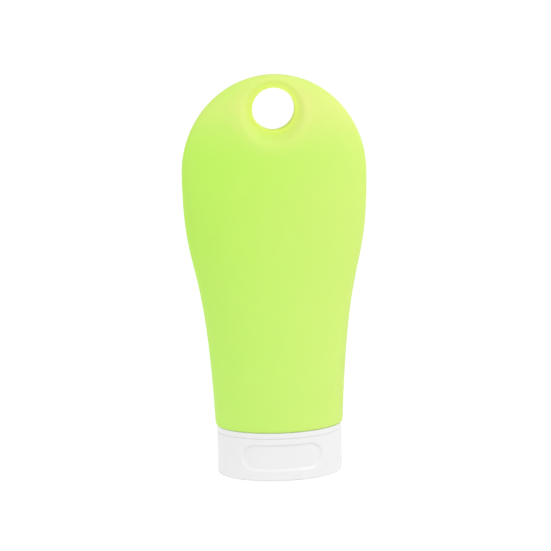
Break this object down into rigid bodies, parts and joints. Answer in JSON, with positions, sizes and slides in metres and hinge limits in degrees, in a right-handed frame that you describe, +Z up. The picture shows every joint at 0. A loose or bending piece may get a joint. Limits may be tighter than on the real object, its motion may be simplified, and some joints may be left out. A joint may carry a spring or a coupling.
{
  "type": "silicone travel bottle",
  "caption": "Flat, spoon-shaped soft silicone squeeze bottle with a hanging hole in its thin top, standing on an oval flip-top screw cap with a thumb recess.",
  "frame": {"origin": "middle of the lid's flat underside, which the bottle stands on", "axes": "+Z up along the neck's axis to the hanging hole, -Y towards the thumb recess, X across the wide side"},
  "size_m": [0.066, 0.0304, 0.145],
  "materials": {
    "lime_silicone": "satin",
    "clear_silicone": "satin",
    "frosted_plastic": "satin"
  },
  "bodies": {
    "bottle": {"body": "lime_silicone", "neck_insert": "frosted_plastic"},
    "seal": {"gasket": "clear_silicone"},
    "cap": {"cap_base": "frosted_plastic", "valve": "clear_silicone", "valve_ring": "frosted_plastic", "living_hinge": "frosted_plastic"},
    "lid": {"flip_lid": "frosted_plastic"}
  },
  "joints": [
    {"name": "cap_lift", "type": "slide", "parent": "bottle", "child": "seal", "axis": [0, 0, -1], "range_m": [0, 0.009]},
    {"name": "cap_turn", "type": "hinge", "parent": "seal", "child": "cap", "pos_m": [0, 0, 0.013], "axis": [0, 0, -1], "range_deg": [0, 720]},
    {"name": "lid_flip", "type": "hinge", "parent": "cap", "child": "lid", "pos_m": [0, 0.01443, 0.0159], "axis": [1, 0, 0], "range_deg": [0, 140], "deforming": ["living_hinge"]}
  ],
  "couplings": [
    {"joint": "cap_lift", "follows": "cap_turn", "m_per_rad": 0.00071619}
  ]
}
